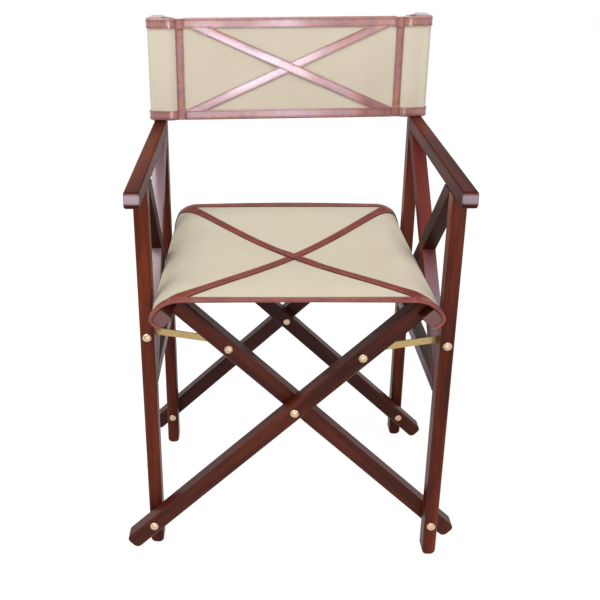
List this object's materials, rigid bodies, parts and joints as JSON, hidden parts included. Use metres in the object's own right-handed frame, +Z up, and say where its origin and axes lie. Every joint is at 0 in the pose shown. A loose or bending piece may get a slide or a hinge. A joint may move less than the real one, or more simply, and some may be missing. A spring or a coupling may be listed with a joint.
{
  "type": "folding director's chair",
  "caption": "Folding wooden director's chair: side frames with crossed braces and stretchers, scissor bars, brass stays, canvas seat and back bound and crossed with leather straps.",
  "frame": {"origin": "floor level, under the middle of the open chair's bounding box", "axes": "+Z up, -Y the way the sitter faces, +X to the right for someone looking at the chair from the front"},
  "size_m": [0.581, 0.4872, 0.9],
  "materials": {
    "mahogany": "gloss varnish",
    "brass": "polished",
    "stay_brass": "satin",
    "canvas": "woven cotton",
    "leather": "waxed"
  },
  "bodies": {
    "left_frame": {"left_front_leg": "mahogany", "left_rear_post": "mahogany", "left_arm": "mahogany", "left_brace_falling": "mahogany", "left_brace_rising": "mahogany", "left_side_stretcher": "mahogany", "left_front_foot_bolt": "brass", "left_rear_foot_bolt": "brass", "left_front_foot_washer": "brass", "left_rear_foot_washer": "brass", "left_front_leg_rivet": "brass", "left_rear_leg_rivet": "brass", "back_left_sleeve": "canvas", "back_left_seam_strap": "leather", "back_left_top_band": "leather", "back_left_bottom_band": "leather"},
    "outer_cross": {"front_outer_bar": "mahogany", "rear_outer_bar": "mahogany", "right_seat_rail": "mahogany", "front_cross_bolt": "brass", "rear_cross_bolt": "brass", "right_front_bar_rivet": "brass", "right_rear_bar_rivet": "brass", "seat_right_turnover": "canvas"},
    "inner_cross": {"front_inner_bar": "mahogany", "rear_inner_bar": "mahogany", "left_seat_rail": "mahogany", "left_front_bar_rivet": "brass", "left_rear_bar_rivet": "brass", "seat_left_turnover": "canvas"},
    "right_frame": {"right_front_leg": "mahogany", "right_rear_post": "mahogany", "right_arm": "mahogany", "right_brace_falling": "mahogany", "right_brace_rising": "mahogany", "right_side_stretcher": "mahogany", "right_front_foot_bolt": "brass", "right_rear_foot_bolt": "brass", "right_front_foot_washer": "brass", "right_rear_foot_washer": "brass", "right_front_leg_rivet": "brass", "right_rear_leg_rivet": "brass", "back_right_sleeve": "canvas", "back_right_seam_strap": "leather", "back_right_top_band": "leather", "back_right_bottom_band": "leather"},
    "left_front_stay": {"left_front_stay": "stay_brass"},
    "left_rear_stay": {"left_rear_stay": "stay_brass"},
    "right_front_stay": {"right_front_stay": "stay_brass"},
    "right_rear_stay": {"right_rear_stay": "stay_brass"},
    "seat": {"seat_canvas": "canvas", "seat_front_binding": "leather", "seat_rear_binding": "leather", "seat_strap_under": "leather", "seat_strap_over": "leather"},
    "back": {"back_canvas": "canvas", "back_top_binding": "leather", "back_bottom_binding": "leather", "back_strap_under": "leather", "back_strap_over": "leather"}
  },
  "joints": [
    {"name": "fold", "type": "hinge", "parent": "left_frame", "child": "outer_cross", "pos_m": [-0.243, 0, 0.0615], "axis": [0, -1, 0], "range_deg": [0, 34.78], "deforming": ["seat_canvas", "seat_front_binding", "seat_rear_binding", "seat_strap_under", "seat_strap_over", "back_canvas", "back_top_binding", "back_bottom_binding", "back_strap_under", "back_strap_over"]},
    {"name": "cross_scissor", "type": "hinge", "parent": "outer_cross", "child": "inner_cross", "pos_m": [0, 0, 0.291], "axis": [0, 1, 0], "range_deg": [0, 77.28]},
    {"name": "right_foot_pivot", "type": "hinge", "parent": "inner_cross", "child": "right_frame", "pos_m": [0.243, 0, 0.0615], "axis": [0, -1, 0], "range_deg": [0, 34.79]},
    {"name": "left_front_stay_pivot", "type": "hinge", "parent": "left_frame", "child": "left_front_stay", "pos_m": [-0.243, 0, 0.4155], "axis": [0, -1, 0], "range_deg": [0, 73.9]},
    {"name": "left_rear_stay_pivot", "type": "hinge", "parent": "left_frame", "child": "left_rear_stay", "pos_m": [-0.243, 0, 0.4155], "axis": [0, -1, 0], "range_deg": [0, 73.9]},
    {"name": "right_front_stay_pivot", "type": "hinge", "parent": "right_frame", "child": "right_front_stay", "pos_m": [0.243, 0, 0.4155], "axis": [0, 1, 0], "range_deg": [0, 73.9]},
    {"name": "right_rear_stay_pivot", "type": "hinge", "parent": "right_frame", "child": "right_rear_stay", "pos_m": [0.243, 0, 0.4155], "axis": [0, 1, 0], "range_deg": [0, 73.9]},
    {"name": "seat_gather", "type": "slide", "parent": "left_frame", "child": "seat", "axis": [-0.6742, 0, 0.7386], "range_m": [0, 0.23]},
    {"name": "back_gather", "type": "hinge", "parent": "left_frame", "child": "back", "pos_m": [0, 0, 2.9757], "axis": [0, 1, 0], "range_deg": [0, 7.72]}
  ],
  "couplings": [
    {"joint": "cross_scissor", "follows": "fold", "ratio": 2.2217},
    {"joint": "right_foot_pivot", "follows": "fold", "ratio": 1},
    {"joint": "left_front_stay_pivot", "follows": "fold", "ratio": 2.1245},
    {"joint": "left_rear_stay_pivot", "follows": "fold", "ratio": 2.1245},
    {"joint": "right_front_stay_pivot", "follows": "fold", "ratio": 2.1245},
    {"joint": "right_rear_stay_pivot", "follows": "fold", "ratio": 2.1245},
    {"joint": "seat_gather", "follows": "fold", "m_per_rad": 0.3787},
    {"joint": "back_gather", "follows": "fold", "ratio": 0.2217}
  ]
}
